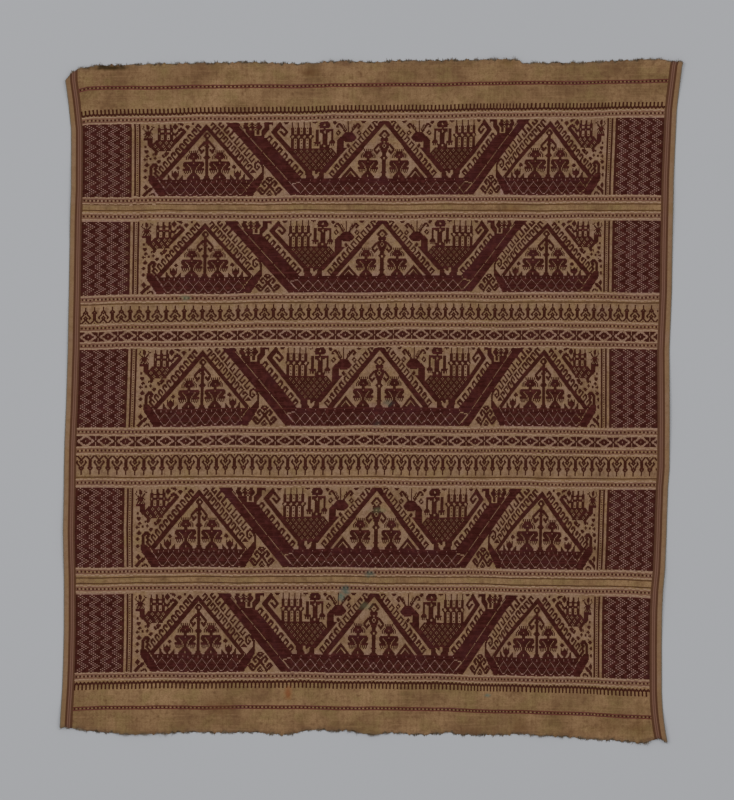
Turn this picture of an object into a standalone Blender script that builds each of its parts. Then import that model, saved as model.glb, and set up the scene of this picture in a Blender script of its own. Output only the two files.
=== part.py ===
"""A woven cotton ship cloth, lying flat and face up: one sheet with uneven raw ends.

Metres, +Z up. The origin is on the surface below the middle of the cloth, the
cloth's upper end points to +Y, and its underside rests on Z = 0 except where the
edges lift in small waves.
"""
import bmesh
import bpy

NAME = "tampan_cloth"

PICK = 0.00104          # spacing of the pattern's weft rows, the unit of the tables below
THICKNESS = 0.0015      # ground weave with the pattern yarns on it
COLUMNS = 78            # mesh divisions from selvedge to selvedge
ROWS = 64               # mesh divisions from end to end
MIDDLE_Y = -0.75        # middle of the outline's box, in picks

COTTON_COLOUR = (0.20, 0.115, 0.062, 1.0)
COTTON_ROUGHNESS = 0.92

# The four edges, in picks from the cloth's middle. The selvedges are read at a
# height, from the lower corner up, and the raw ends from left to right.
LEFT_SELVEDGE = [
    # height, position
    (-326.9, -311.5),
    (-304.5, -310.5),
    (-285.5, -309.3),
    (-256.5, -308.3),
    (-202.5, -307.6),
    (-130.5, -308.6),
    (-67.5, -307.7),
    (-5.5, -305.6),
    (50.5, -303.7),
    (123.5, -302.5),
    (210.5, -300.3),
    (270.5, -300.5),
    (319.5, -306.0),
]
RIGHT_SELVEDGE = [
    # height, position
    (-341.5, 295.8),
    (-319.5, 292.3),
    (-291.5, 290.4),
    (-209.5, 290.6),
    (-169.5, 293.5),
    (-99.5, 295.6),
    (-69.5, 298.2),
    (50.5, 297.9),
    (110.5, 300.5),
    (195.5, 302.0),
    (250.5, 303.7),
    (290.5, 305.5),
    (337.5, 311.5),
]
UPPER_END = [
    # position, height
    (-306.0, 319.5),
    (-298.5, 327.5),
    (-271.5, 334.0),
    (-121.5, 337.7),
    (-71.5, 335.5),
    (-31.5, 339.0),
    (3.5, 337.5),
    (58.5, 339.5),
    (145.5, 340.5),
    (155.5, 336.5),
    (208.5, 337.0),
    (283.5, 341.0),
    (311.5, 337.5),
]
LOWER_END = [
    # position, height
    (-311.5, -326.9),
    (-294.5, -327.5),
    (-245.5, -333.5),
    (-181.5, -330.5),
    (-86.5, -333.5),
    (-60.5, -328.5),
    (-0.5, -334.1),
    (76.5, -331.0),
    (113.5, -334.5),
    (174.5, -335.1),
    (224.5, -338.9),
    (272.5, -342.5),
    (284.5, -337.5),
    (295.8, -341.5),
]

# Small waves where the edges stand off the surface: middle and reach in picks.
EDGE_WAVES = [
    # across, along, reach_across, reach_along, lift in metres
    (-306.0, 326.0, 52.0, 40.0, 0.0030),
    (-200.0, 340.0, 48.0, 30.0, 0.0014),
    (-31.0, 341.0, 40.0, 30.0, 0.0018),
    (135.0, 342.0, 40.0, 32.0, 0.0024),
    (311.0, 340.0, 60.0, 44.0, 0.0028),
    (303.0, 190.0, 32.0, 60.0, 0.0015),
    (298.0, -10.0, 32.0, 66.0, 0.0018),
    (293.0, -190.0, 32.0, 58.0, 0.0021),
    (296.0, -342.0, 50.0, 40.0, 0.0034),
    (175.0, -337.0, 46.0, 32.0, 0.0020),
    (-5.0, -333.0, 52.0, 30.0, 0.0017),
    (-230.0, -332.0, 56.0, 32.0, 0.0020),
    (-312.0, -328.0, 40.0, 36.0, 0.0028),
    (-309.0, -130.0, 32.0, 60.0, 0.0018),
    (-303.0, 60.0, 32.0, 56.0, 0.0012),
    (-301.0, 205.0, 32.0, 56.0, 0.0015),
]


def along(table, place):
    """Read a two-column table at a place between its rows."""
    for (start, low), (end, high) in zip(table, table[1:]):
        if place <= end:
            return low + (high - low) * max(place - start, 0.0) / (end - start)
    return table[-1][1]


def edge_point(table, share, upright):
    """The point a share of the way along one edge, in picks."""
    first, last = table[0][0], table[-1][0]
    run = first + (last - first) * share
    off = along(table, run)
    return (off, run) if upright else (run, off)


def lift(across, along_cloth):
    """Height of the edge waves at a place given in picks."""
    height = 0.0
    for wave_x, wave_y, reach_x, reach_y, top in EDGE_WAVES:
        near = ((across - wave_x) / reach_x) ** 2 + ((along_cloth - wave_y) / reach_y) ** 2
        if near < 1.0:
            height = max(height, top * (1.0 - near) ** 2)
    return height


def cloth_point(u, v):
    """Blend the four edges into the place of one mesh point, u across and v along."""
    left = edge_point(LEFT_SELVEDGE, v, True)
    right = edge_point(RIGHT_SELVEDGE, v, True)
    lower = edge_point(LOWER_END, u, False)
    upper = edge_point(UPPER_END, u, False)
    place = []
    for axis in (0, 1):
        sides = (1 - u) * left[axis] + u * right[axis]
        ends = (1 - v) * lower[axis] + v * upper[axis]
        corners = (
            (1 - u) * (1 - v) * LOWER_END[0][axis]
            + u * (1 - v) * LOWER_END[-1][axis]
            + (1 - u) * v * UPPER_END[0][axis]
            + u * v * UPPER_END[-1][axis]
        )
        place.append(sides + ends - corners)
    return place


def cotton():
    material = bpy.data.materials.new("handspun_cotton")
    material.use_nodes = True
    shader = material.node_tree.nodes["Principled BSDF"]
    shader.inputs["Base Color"].default_value = COTTON_COLOUR
    shader.inputs["Roughness"].default_value = COTTON_ROUGHNESS
    shader.inputs["Metallic"].default_value = 0.0
    return material


def build_cloth(collection):
    """A flat grid is drawn out to the four edges, lifted at the waves and thickened."""
    sheet = bmesh.new()
    bmesh.ops.create_grid(sheet, x_segments=COLUMNS, y_segments=ROWS, size=0.5)
    for point in sheet.verts:
        across, along_cloth = cloth_point(point.co.x + 0.5, point.co.y + 0.5)
        point.co.x = across * PICK
        point.co.y = (along_cloth - MIDDLE_Y) * PICK
        point.co.z = lift(across, along_cloth)
    mesh = bpy.data.meshes.new(NAME)
    sheet.to_mesh(mesh)
    sheet.free()
    mesh.shade_smooth()
    mesh.materials.append(cotton())
    cloth = bpy.data.objects.new(NAME, mesh)
    collection.objects.link(cloth)
    shell = cloth.modifiers.new("thickness", "SOLIDIFY")
    shell.thickness = THICKNESS
    shell.offset = 1.0
    shell.use_even_offset = False
    return cloth


def main():
    for thing in list(bpy.data.objects):
        bpy.data.objects.remove(thing)
    collection = bpy.data.collections.new("ship_cloth")
    bpy.context.scene.collection.children.link(collection)
    build_cloth(collection)


main()
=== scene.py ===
import math

import bpy
import numpy as np
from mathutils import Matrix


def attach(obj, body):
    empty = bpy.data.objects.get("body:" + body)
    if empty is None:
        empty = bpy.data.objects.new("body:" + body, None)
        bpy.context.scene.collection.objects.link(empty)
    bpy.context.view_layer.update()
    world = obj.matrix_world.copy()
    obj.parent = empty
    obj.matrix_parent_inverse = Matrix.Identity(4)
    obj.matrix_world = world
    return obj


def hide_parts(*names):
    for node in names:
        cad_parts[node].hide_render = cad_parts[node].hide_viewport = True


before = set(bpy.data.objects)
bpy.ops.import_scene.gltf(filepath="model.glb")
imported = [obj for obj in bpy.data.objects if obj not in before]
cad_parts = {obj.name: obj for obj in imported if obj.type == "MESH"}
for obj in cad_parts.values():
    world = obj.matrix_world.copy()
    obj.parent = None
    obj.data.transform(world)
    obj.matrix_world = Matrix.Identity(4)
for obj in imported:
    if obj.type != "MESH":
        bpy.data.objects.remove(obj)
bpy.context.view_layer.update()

chance = np.random.default_rng(12)

# Camera. The cloth was looked at from straight above its middle, so the camera hangs over it
# and its view takes in 5 to 6 cm of floor on every side.
PICK = 0.00104                  # metres of cloth to one step of the tables, a little under one pick
MIDDLE = (371.5, 401.25)        # the part's origin, in steps right and down from the view's top left
VIEW_CENTRE = (367.0, 400.0)
VIEW_STEPS = 800                # the view's height
LENS = 100.0
SENSOR = 36.0

camera_data = bpy.data.cameras.new("camera")
camera_data.lens = LENS
camera_data.sensor_width = SENSOR
camera = bpy.data.objects.new("camera", camera_data)
bpy.context.scene.collection.objects.link(camera)
camera.location = (
    (VIEW_CENTRE[0] - MIDDLE[0]) * PICK,
    (MIDDLE[1] - VIEW_CENTRE[1]) * PICK,
    VIEW_STEPS * PICK * LENS / SENSOR,
)
bpy.context.scene.camera = camera

# Ground cloth. One sheet of handspun cotton in plain weave, cream gone to a dull tan with age and
# handling, with red-brown warp stripes along both selvedges. Its two ends are raw and frayed,
# and its edges stand one to three millimetres off the surface where they wave.
GROUND_THICKNESS = 0.0010
GROUND_ACROSS = 200             # mesh divisions
GROUND_ALONG = 150
RIPPLE = 0.00022                # height of the slight pucker all over the cloth

LEFT_SELVEDGE = (
    # down, across
    (81.0, 65.5), (100, 68.0), (130, 71.0), (190, 71.0), (221, 69.9), (277, 69.0), (350, 67.8),
    (406, 65.9), (442, 64.4), (468, 63.8), (500, 63.6), (531, 63.0), (577, 63.8), (628, 63.8),
    (657, 63.2), (686, 62.2), (705, 61.0), (727.4, 60.0),
)
RIGHT_SELVEDGE = (
    # down, across
    (63.0, 683.0), (66, 682.0), (110, 677.0), (150, 675.2), (180, 673.8), (205, 673.3), (240, 672.6),
    (290, 672.0), (320, 670.8), (350, 669.5), (420, 669.7), (470, 669.6), (487, 668.2), (515, 667.2),
    (540, 666.5), (570, 665.0), (590, 663.0), (610, 662.1), (650, 661.8), (692, 661.9), (708, 662.7),
    (720, 663.8), (732, 665.4), (742, 667.3),
)
UPPER_END = (
    # across, down
    (65.5, 81.0), (73, 73.0), (80, 69.0), (100, 66.4), (135, 65.2), (250, 62.8), (300, 64.6),
    (340, 61.8), (375, 63.0), (400, 61.2), (430, 61.2), (500, 60.2), (517, 60.4), (521, 63.8),
    (580, 63.4), (620, 61.2), (655, 59.8), (683, 63.0),
)
LOWER_END = (
    # across, down
    (60.0, 727.4), (65, 726.5), (77, 728.0), (92, 730.6), (112, 732.0), (130, 733.8), (156, 733.0),
    (190, 731.2), (216, 732.0), (253, 731.5), (273, 733.4), (285, 734.4), (297, 732.0), (311, 729.2),
    (322, 729.2), (338, 730.6), (346, 729.2), (359, 732.0), (371, 734.2), (393, 731.7), (406, 733.4),
    (425, 734.0), (448, 731.7), (463, 734.2), (505, 734.2), (521, 732.5), (533, 734.4), (569, 736.0),
    (596, 739.2), (612, 739.4), (629, 741.0), (644, 742.6), (652, 739.0), (659, 737.8), (667.3, 742.0),
)
EDGE_WAVES = (
    # across, along, reach across, reach along, in steps from the middle; lift in metres
    (-306, 326, 52, 40, 0.0030), (-200, 340, 48, 30, 0.0014), (-31, 341, 40, 30, 0.0018),
    (135, 342, 40, 32, 0.0024), (311, 340, 60, 44, 0.0028), (303, 190, 32, 60, 0.0015),
    (298, -10, 32, 66, 0.0018), (293, -190, 32, 58, 0.0021), (296, -342, 50, 40, 0.0034),
    (175, -337, 46, 32, 0.0020), (-5, -333, 52, 30, 0.0017), (-230, -332, 56, 32, 0.0020),
    (-312, -328, 40, 36, 0.0028), (-309, -130, 32, 60, 0.0018), (-303, 60, 32, 56, 0.0012),
    (-301, 205, 32, 56, 0.0015),
)


def read(table, place):
    """Read a two-column table at one or many places."""
    places, values = zip(*table)
    return np.interp(place, places, values)


def height(across, down):
    """Height of the cloth's underside, in metres, at a place in steps."""
    x = np.asarray(across, float) - MIDDLE[0]
    y = MIDDLE[1] - np.asarray(down, float)
    lift = np.zeros(np.broadcast(x, y).shape)
    for wave_x, wave_y, reach_x, reach_y, top in EDGE_WAVES:
        near = ((x - wave_x) / reach_x) ** 2 + ((y - wave_y) / reach_y) ** 2
        lift = np.maximum(lift, top * np.clip(1 - near, 0, 1) ** 2)
    return lift


def pucker(across, down):
    """Slight unevenness of the cloth's face, from tight and slack yarns, in long waves out of step."""
    by_warp = np.sin(across / 17.0 + 1.3 * np.sin(down / 41.0))
    by_weft = np.sin(down / 13.0 + np.sin(across / 53.0))
    return RIPPLE * (1 + by_warp * by_weft) / 2


def on_cloth(across, down, above=0.0):
    """Places in steps, with a height above the ground cloth's face, as points in metres."""
    across, down = np.broadcast_arrays(np.asarray(across, float), np.asarray(down, float))
    up = height(across, down) + GROUND_THICKNESS + pucker(across, down) + above
    return np.stack([(across - MIDDLE[0]) * PICK, (MIDDLE[1] - down) * PICK, up], axis=-1)


def make_piece(name, points, faces, material):
    """A mesh object that rides on the part's one body."""
    mesh = bpy.data.meshes.new(name)
    mesh.from_pydata(points.tolist() if hasattr(points, "tolist") else points, [], faces)
    mesh.polygons.foreach_set("use_smooth", [True] * len(mesh.polygons))
    mesh.materials.append(material)
    flat_map(mesh)
    piece = bpy.data.objects.new(name, mesh)
    bpy.context.scene.collection.objects.link(piece)
    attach(piece, "root")
    return piece


def flat_map(mesh):
    """A flat map from above, for the exported model's textures."""
    corners = np.empty(len(mesh.loops), dtype=np.int64)
    mesh.loops.foreach_get("vertex_index", corners)
    places = np.empty(len(mesh.vertices) * 3)
    mesh.vertices.foreach_get("co", places)
    places = places.reshape(-1, 3)[:, :2]
    low, high = places.min(axis=0), places.max(axis=0)
    share = (places - low) / np.maximum(high - low, 1e-6)
    layer = mesh.uv_layers.new(name="OFBake")
    layer.data.foreach_set("uv", share[corners].ravel())


def store(mesh, name, values):
    """One number for each vertex, which a material reads by name."""
    layer = mesh.attributes.new(name, "FLOAT", "POINT")
    layer.data.foreach_set("value", np.asarray(values, dtype=np.float32).ravel())


def linear(hex_colour, alpha=1.0):
    """An sRGB hex colour as Blender's linear one."""
    parts = [int(hex_colour[i:i + 2], 16) / 255 for i in (1, 3, 5)]
    return (*[c / 12.92 if c <= 0.04045 else ((c + 0.055) / 1.055) ** 2.4 for c in parts], alpha)


def add(tree, kind, sockets=None, **settings):
    """Add a node: its settings by name, and its sockets by name or number, as values or links."""
    node = tree.nodes.new(kind)
    for name, value in settings.items():
        setattr(node, name, value)
    for socket, value in (sockets or {}).items():
        if isinstance(value, bpy.types.NodeSocket):
            tree.links.new(value, node.inputs[socket])
        else:
            node.inputs[socket].default_value = value
    return node


def new_material(name):
    """An empty node material and its tree."""
    material = bpy.data.materials.new(name)
    material.use_nodes = True
    material.node_tree.nodes.clear()
    return material, material.node_tree


def lay(tree, colour, layers):
    """Lay colours over a first one: each layer's source, its span, the amount at each end, its colour."""
    for source, low, high, at_low, at_high, shade in layers:
        amount = add(tree, "ShaderNodeMapRange", {0: source, 1: low, 2: high, 3: at_low, 4: at_high})
        colours = {0: amount.outputs[0], 6: colour, 7: linear(shade)}
        colour = add(tree, "ShaderNodeMix", colours, data_type="RGBA").outputs[2]
    return colour


# The ground is matt plain weave of uneven handspun yarn. Its thick and thin yarns are drawn as faint
# streaks, about 2 mm wide at their coarsest, with finer ones in them; single threads, finer than that,
# aren't drawn. Broad shallow waves 8 mm apart, far coarser than a thread, add unevenness to the bump.
GROUND_TAN = "#806647"
END_TAN = "#735A3E"
YARN_LIGHT = "#947553"
YARN_DARK = "#5A402B"
# painted shade: a grey shadow along the very edge of each selvedge
SELVEDGE_SHADOW_GREY = "#6A665A"
OLIVE = "#75643E"
BAND_CREAM = "#8B6F5B"            # the paler, pinker ground between the floats
SELVEDGE_RED = "#4C2E1E"
SELVEDGE_BROWN = "#583A2D"
SELVEDGE_MAUVE = "#6C4D40"
SELVEDGE_TAN = "#775D43"
BAND_PINK = "#8C6C68"             # and in the panels and hulls, where the dye has bled into it
WAVE_SCALE = 40.0               # the wave texture's waves are 7.9 mm apart at this scale
STAINS = (
    # across, down, half width, half height, strength, colour
    (388, 403, 5, 3, 0.5, "#26423C"),
    (345, 590, 5, 5, 0.65, "#1F4E4A"),
    (341, 597, 3, 4, 0.6, "#2C5A52"),
    (370, 574, 5, 3, 0.55, "#2E5148"),
    (377, 424, 4, 3, 0.25, "#344A40"),
    (186, 298, 5, 3, 0.5, "#5A6A52"),
    (487, 695, 3, 2, 0.6, "#3F5E56"),
    (378, 510, 8, 3, 0.35, "#5C6A4A"),
    (365, 606, 7, 4, 0.35, "#5A6A4E"),
    (288, 693, 4, 6, 0.6, "#7A3F20"),
    (220, 706, 16, 9, 0.35, "#5E4028"),
    (310, 73, 9, 4, 0.5, "#5A3C24"),
    (345, 64, 6, 3, 0.55, "#55382A"),
    (512, 210, 9, 4, 0.4, "#6A4A2C"),
    # the upper end drawn dark olive along a strip at the left, where the end rolls
    (111, 68.2, 22, 2.6, 1.0, "#3A2B12"),
    # the upper end drawn darker where it is raised and frayed
    (508, 63, 9, 3, 0.5, "#5A4424"),
    (606, 726, 16, 7, 0.45, "#5A4027"),
    (637, 727, 8, 8, 0.45, "#55391F"),
    (553, 723, 9, 4, 0.35, "#5E4A2E"),
    (640, 707, 7, 6, 0.4, "#5F482C"),
    (518, 727, 7, 9, 0.35, "#65482C"),
)

UNEVENNESS = (
    # name, stretch across and along, shift, scale, detail, roughness; then its coarsest size in mm
    ("cloudy", (1, 1), (0, 0), 11.0, 5.0, 0.6),              # 91
    ("warp_streak", (420, 14), (0, 0), 1.0, 3.0, 0.5),       # 2.4 by 71
    ("weft_streak", (22, 520), (0, 0), 1.0, 3.0, 0.5),       # 45 by 1.9
    ("grain", (1, 1), (0, 0), 760.0, 2.0, 0.5),              # 1.3
    ("mottle", (1, 1), (0, 0), 230.0, 3.0, 0.6),             # 4.3
    ("greener", (1, 1), (0.4, 0.2), 45.0, 4.0, 0.5),         # 22
    ("patches", (1, 1), (0, 0), 60.0, 3.0, 0.6),             # 17
    ("handled", (1, 1), (0, 0), 24.0, 4.0, 0.7),             # 42
)
ground_material, tree = new_material("handspun_cotton_plain_weave")
place = add(tree, "ShaderNodeTexCoord").outputs["Object"]
stored = {
    name: add(tree, "ShaderNodeAttribute", attribute_name=name).outputs["Fac"]
    for name in ("from_left", "from_right", "from_end", "in_band", "bled")
}
uneven = {}
for name, stretch, shift, scale, detail, roughness in UNEVENNESS:
    change = {0: place, 1: (*stretch, 1), 2: (*shift, 0)}
    moved = add(tree, "ShaderNodeVectorMath", change, operation="MULTIPLY_ADD")
    noise = add(tree, "ShaderNodeTexNoise", {"Vector": moved.outputs[0], "Scale": scale, "Detail": detail,
                                             "Roughness": roughness})
    uneven[name] = noise.outputs["Fac"]

colour = lay(tree, linear(GROUND_TAN), (
    (stored["from_end"], 24.0, 44.0, 1.0, 0.0, END_TAN),
    (uneven["cloudy"], 0.36, 0.62, 0.0, 0.75, YARN_LIGHT),
    (uneven["greener"], 0.45, 0.62, 0.0, 0.6, OLIVE),
    (uneven["handled"], 0.45, 0.72, 0.0, 0.8, YARN_DARK),
))
patchy = add(tree, "ShaderNodeMapRange", {0: uneven["patches"], 1: 0.38, 2: 0.62, 3: 0.2, 4: 0.9})
pinker = add(tree, "ShaderNodeMath", {0: stored["in_band"], 1: patchy.outputs[0]}, operation="MULTIPLY")
colour = lay(tree, colour, (
    (pinker.outputs[0], 0.0, 1.0, 0.0, 1.0, BAND_CREAM),
    (stored["bled"], 0.0, 1.0, 0.0, 1.0, BAND_PINK),
    (uneven["warp_streak"], 0.45, 0.75, 0.0, 0.35, YARN_DARK),
    (uneven["weft_streak"], 0.5, 0.75, 0.0, 0.4, YARN_LIGHT),
    (uneven["mottle"], 0.5, 0.75, 0.0, 0.7, YARN_DARK),
    (uneven["grain"], 0.4, 0.7, 0.0, 0.45, YARN_DARK),
))

# Each selvedge, from the edge inwards: a tan strip with painted grey shade along its very edge, a dark
# red-brown line, fine mauve and brown lines, and a dark red-brown line beside the pattern.
SELVEDGE = (
    # from the edge, width in steps, colour, strength
    (0.0, 5.1, SELVEDGE_TAN, 0.6),
    # painted shade: a grey shadow over the selvedge's outermost 0.8 steps
    (0.0, 0.8, SELVEDGE_SHADOW_GREY, 0.7),
    (5.1, 2.1, SELVEDGE_RED, 0.95),
    (7.2, 1.0, SELVEDGE_MAUVE, 0.9),
    (8.2, 1.1, SELVEDGE_BROWN, 0.95),
    (9.3, 1.0, SELVEDGE_MAUVE, 0.9),
    (10.3, 2.2, SELVEDGE_RED, 0.9),
)
BLUR = 0.1                      # steps that each line spreads past its width
for side in ("from_left", "from_right"):
    for start, width, shade, strength in SELVEDGE:
        span = {0: stored[side], 1: start + width / 2, 2: width / 2 + BLUR}
        inside = add(tree, "ShaderNodeMath", span, operation="COMPARE").outputs[0]
        colour = lay(tree, colour, [(inside, 0.0, 1.0, 0.0, strength, shade)])


def stain_over(tree, colour, place):
    """Lay the stains over a cloth colour: blue-green spots and brown smudges, broken up by the weave."""
    blotch = add(tree, "ShaderNodeTexNoise", {"Vector": place, "Scale": 190.0, "Detail": 3.0})
    for across, down, half_width, half_height, strength, shade in STAINS:
        middle = ((across - MIDDLE[0]) * PICK, (MIDDLE[1] - down) * PICK, 0.0)
        size = (1 / (half_width * PICK), 1 / (half_height * PICK), 0.0)
        moved = add(tree, "ShaderNodeVectorMath", {0: place, 1: middle}, operation="SUBTRACT")
        sized = add(tree, "ShaderNodeVectorMath", {0: moved.outputs[0], 1: size}, operation="MULTIPLY")
        away = add(tree, "ShaderNodeVectorMath", {0: sized.outputs[0]}, operation="LENGTH").outputs["Value"]
        broken = add(tree, "ShaderNodeMath", {0: blotch.outputs["Fac"], 1: 1.6, 2: away},
                     operation="MULTIPLY_ADD")
        colour = lay(tree, colour, [(broken.outputs[0], 1.1, 2.2, strength, 0.0, shade)])
    return colour


colour = stain_over(tree, colour, place)
waves = [
    add(tree, "ShaderNodeTexWave", {"Vector": place, "Scale": WAVE_SCALE, "Distortion": 1.2, "Detail": 1.0,
                                    "Detail Scale": 3.0}, bands_direction=way).outputs["Fac"]
    for way in ("X", "Y")
]
crossed = add(tree, "ShaderNodeMath", {0: waves[0], 1: waves[1]})
slubby = add(tree, "ShaderNodeMath", {0: uneven["warp_streak"], 1: 1.5, 2: crossed.outputs[0]},
             operation="MULTIPLY_ADD")
bump = add(tree, "ShaderNodeBump", {"Strength": 0.35, "Distance": 0.0004, "Height": slubby.outputs[0]})
shader = add(tree, "ShaderNodeBsdfPrincipled", {"Base Color": colour, "Roughness": 0.92, "IOR": 1.46,
                                               "Specular IOR Level": 0.15, "Sheen Weight": 0.08,
                                               "Sheen Roughness": 0.6, "Normal": bump.outputs[0]})
add(tree, "ShaderNodeOutputMaterial", {0: shader.outputs[0]})

RAGGED = 1.6                    # how far the raw ends wander in and out, in steps
CORNER_FADE = 40                # it dies away over the last fortieth of an end, at each corner


def ragged(table, across):
    """A raw end's places down the view, with small notches between its corners."""
    share = (across - across.min()) / (across.max() - across.min())
    notch = np.sin(across * 1.31) * np.sin(across * 0.37 + 1.0) + 0.5 * np.sin(across * 0.83)
    return read(table, across) + RAGGED * notch * np.clip(np.minimum(share, 1 - share) * CORNER_FADE, 0, 1)


def sheet_places(across_count, along_count):
    """Blend the four edges into a grid of places, in steps."""
    u = np.linspace(0, 1, across_count + 1)[None, :]
    v = np.linspace(0, 1, along_count + 1)[:, None]
    top_x = UPPER_END[0][0] + (UPPER_END[-1][0] - UPPER_END[0][0]) * u
    low_x = LOWER_END[0][0] + (LOWER_END[-1][0] - LOWER_END[0][0]) * u
    left_y = LEFT_SELVEDGE[0][0] + (LEFT_SELVEDGE[-1][0] - LEFT_SELVEDGE[0][0]) * v
    right_y = RIGHT_SELVEDGE[0][0] + (RIGHT_SELVEDGE[-1][0] - RIGHT_SELVEDGE[0][0]) * v
    corners = [UPPER_END[0], UPPER_END[-1], LOWER_END[0], LOWER_END[-1]]
    places = []
    for axis, ends, sides in (
        (0, (top_x, low_x), (read(LEFT_SELVEDGE, left_y), read(RIGHT_SELVEDGE, right_y))),
        (1, (ragged(UPPER_END, top_x), ragged(LOWER_END, low_x)), (left_y, right_y)),
    ):
        along = (1 - v) * ends[0] + v * ends[1]
        across = (1 - u) * sides[0] + u * sides[1]
        twist = ((1 - u) * (1 - v) * corners[0][axis] + u * (1 - v) * corners[1][axis]
                 + (1 - u) * v * corners[2][axis] + u * v * corners[3][axis])
        places.append(along + across - twist)
    return places


# The edges of the five ship bands and of the borders between them. The weft was beaten down
# unevenly, so each edge was measured at three places across.
SHIP_BANDS = (
    # top edge left, middle, right; bottom edge left, middle, right
    (124.5, 121.0, 118.0, 198.0, 195.0, 195.3),
    (222.0, 220.6, 221.0, 295.6, 292.0, 292.5),
    (349.9, 347.0, 349.2, 428.0, 425.4, 428.3),
    (487.9, 488.0, 490.4, 567.4, 567.4, 570.8),
    (594.3, 593.2, 598.3, 672.6, 673.0, 679.6),
)
TREE_BORDERS = (
    (307.3, 303.8, 305.0, 323.7, 319.6, 322.0),
    (456.0, 454.5, 457.9, 474.9, 475.0, 476.7),
)
DIAMOND_BORDERS = (
    (332.3, 329.9, 331.5, 342.2, 339.2, 341.9),
    (436.5, 435.9, 437.8, 446.5, 445.0, 447.7),
)
LINE_STATIONS = (85.0, 383.0, 660.0)     # how far across the left, middle and right heights lie
WANDER = 0.28                   # how far a weft line strays over some centimetres, in steps
THREAD_STRAY = 0.12             # and from thread to thread
CORNER_SAG = 1.7                # how far the first lines drop near the upper left corner
SAG_FROM = 83                   # where across they drop that far
SAG_REACH = 6                   # how quickly the drop dies away towards the right
SAG_END = 150                   # how far down it is gone
SAG_FADE = 30                   # and the length over which it goes


def line_down(heights, across):
    """How far down a weft line lies at a place across, from its three measured heights."""
    x0, x1, x2 = LINE_STATIONS
    first, middle, last = np.moveaxis(np.asarray(heights, float), -1, 0)
    down = (first * (across - x1) * (across - x2) / ((x0 - x1) * (x0 - x2))
            + middle * (across - x0) * (across - x2) / ((x1 - x0) * (x1 - x2))
            + last * (across - x0) * (across - x1) / ((x2 - x0) * (x2 - x1)))
    wander = np.sin(across / 23.0 + down / 61.0) + 0.7 * np.sin(across / 11.0 - down / 37.0 + 2.0)
    near_corner = np.exp((SAG_FROM - across) / SAG_REACH) * np.clip((SAG_END - down) / SAG_FADE, 0, 1)
    stray = THREAD_STRAY * np.sin(across / 2.1 + down / 5)
    return down + WANDER * wander + stray + CORNER_SAG * near_corner


across, down = sheet_places(GROUND_ACROSS, GROUND_ALONG)
face = on_cloth(across, down)
back = face.copy()
back[..., 2] = height(across, down)
points = np.concatenate([face.reshape(-1, 3), back.reshape(-1, 3)])
columns, rows = GROUND_ACROSS + 1, GROUND_ALONG + 1
under = columns * rows
faces = []
for row in range(rows - 1):
    for column in range(columns - 1):
        a = row * columns + column
        faces.append((a, a + columns, a + columns + 1, a + 1))
        faces.append((under + a, under + a + 1, under + a + columns + 1, under + a + columns))
last_row = (rows - 1) * columns
for column in range(columns - 1):
    for a, b in ((column, column + 1), (last_row + column + 1, last_row + column)):
        faces.append((a, b, under + b, under + a))
for row in range(rows - 1):
    left, right = row * columns, row * columns + columns - 1
    for a, b in ((left + columns, left), (right, right + columns)):
        faces.append((a, b, under + b, under + a))
ground = make_piece("ground_cloth", points, faces, ground_material)


def ramp(distance, over, start=0.0):
    """From 0 to 1 as a distance grows by a length."""
    return np.clip(distance / over + start, 0, 1)


# Where the ground looks paler and pinker: a little past each band and border, and most of all where
# the floats' dye has bled, in the side panels and at the foot of each ship.
HULLS = ((155, 238), (290, 455), (502, 574))     # from and to, across, at the foot of each ship
HULL_TOP = 0.74                 # where a hull starts, as a share of its band
PANEL_FROM = 10                 # the side panels, in steps from the edge
PANEL_TO = 60
BAND_MARGIN = 9
BORDER_MARGIN = 4
EDGE_START = 0.6                # the dye shows this much at a band's very edge
from_left, from_right = across - read(LEFT_SELVEDGE, down), read(RIGHT_SELVEDGE, down) - across
from_side = np.minimum(from_left, from_right)
from_end = np.minimum(down - read(UPPER_END, across), read(LOWER_END, across) - down)
by_panel = ramp(PANEL_TO - from_side, 5) * ramp(from_side - PANEL_FROM, 5)
in_band = np.zeros(across.shape)
bled = np.zeros(across.shape)
for edges in SHIP_BANDS:
    top, bottom = line_down(edges[:3], across), line_down(edges[3:], across)
    in_band = np.maximum(in_band, ramp(np.minimum(down - top + BAND_MARGIN, bottom + BAND_MARGIN - down), 4))
    within = ramp(np.minimum(down - top, bottom - down), 4, EDGE_START)
    by_hull = np.zeros(across.shape)
    for first, last in HULLS:
        by_hull = np.maximum(by_hull, ramp(np.minimum(across - first, last - across), 5, 1))
    by_hull = by_hull * ramp(down - top - HULL_TOP * (bottom - top), 5)
    bled = np.maximum(bled, 0.9 * within * np.maximum(by_panel, by_hull))
for edges in TREE_BORDERS + DIAMOND_BORDERS:
    top, bottom = line_down(edges[:3], across), line_down(edges[3:], across)
    near = ramp(np.minimum(down - top + BORDER_MARGIN, bottom + BORDER_MARGIN - down), 4)
    in_band = np.maximum(in_band, 0.8 * near)
    if edges in DIAMOND_BORDERS:
        bled = np.maximum(bled, 0.4 * ramp(np.minimum(down - top, bottom - down), 4, EDGE_START))
for name, values in (
    ("from_left", from_left),
    ("from_right", from_right),
    ("from_end", from_end),
    ("in_band", in_band),
    ("bled", bled),
):
    store(ground.data, name, np.tile(values.ravel(), 2))
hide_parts("tampan_cloth")

# Ship bands. Five bands of dyed cotton float over the ground, each charted as 612 warp steps by
# 66 picks: a panel of zigzags at each side, narrow stripes beside it, and a field with a big ship
# in the middle and a small ship at each side. The field is charted for its left half and mirrored.
BAND_PICKS = 66
FIELD_HALF = 244
PANEL = 50
STRIPES = 12
BAND_COLUMNS = 612
SPREAD_FROM = 178               # motifs past this column are drawn narrower by this much, to fit
SPREAD = 1.0221
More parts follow.
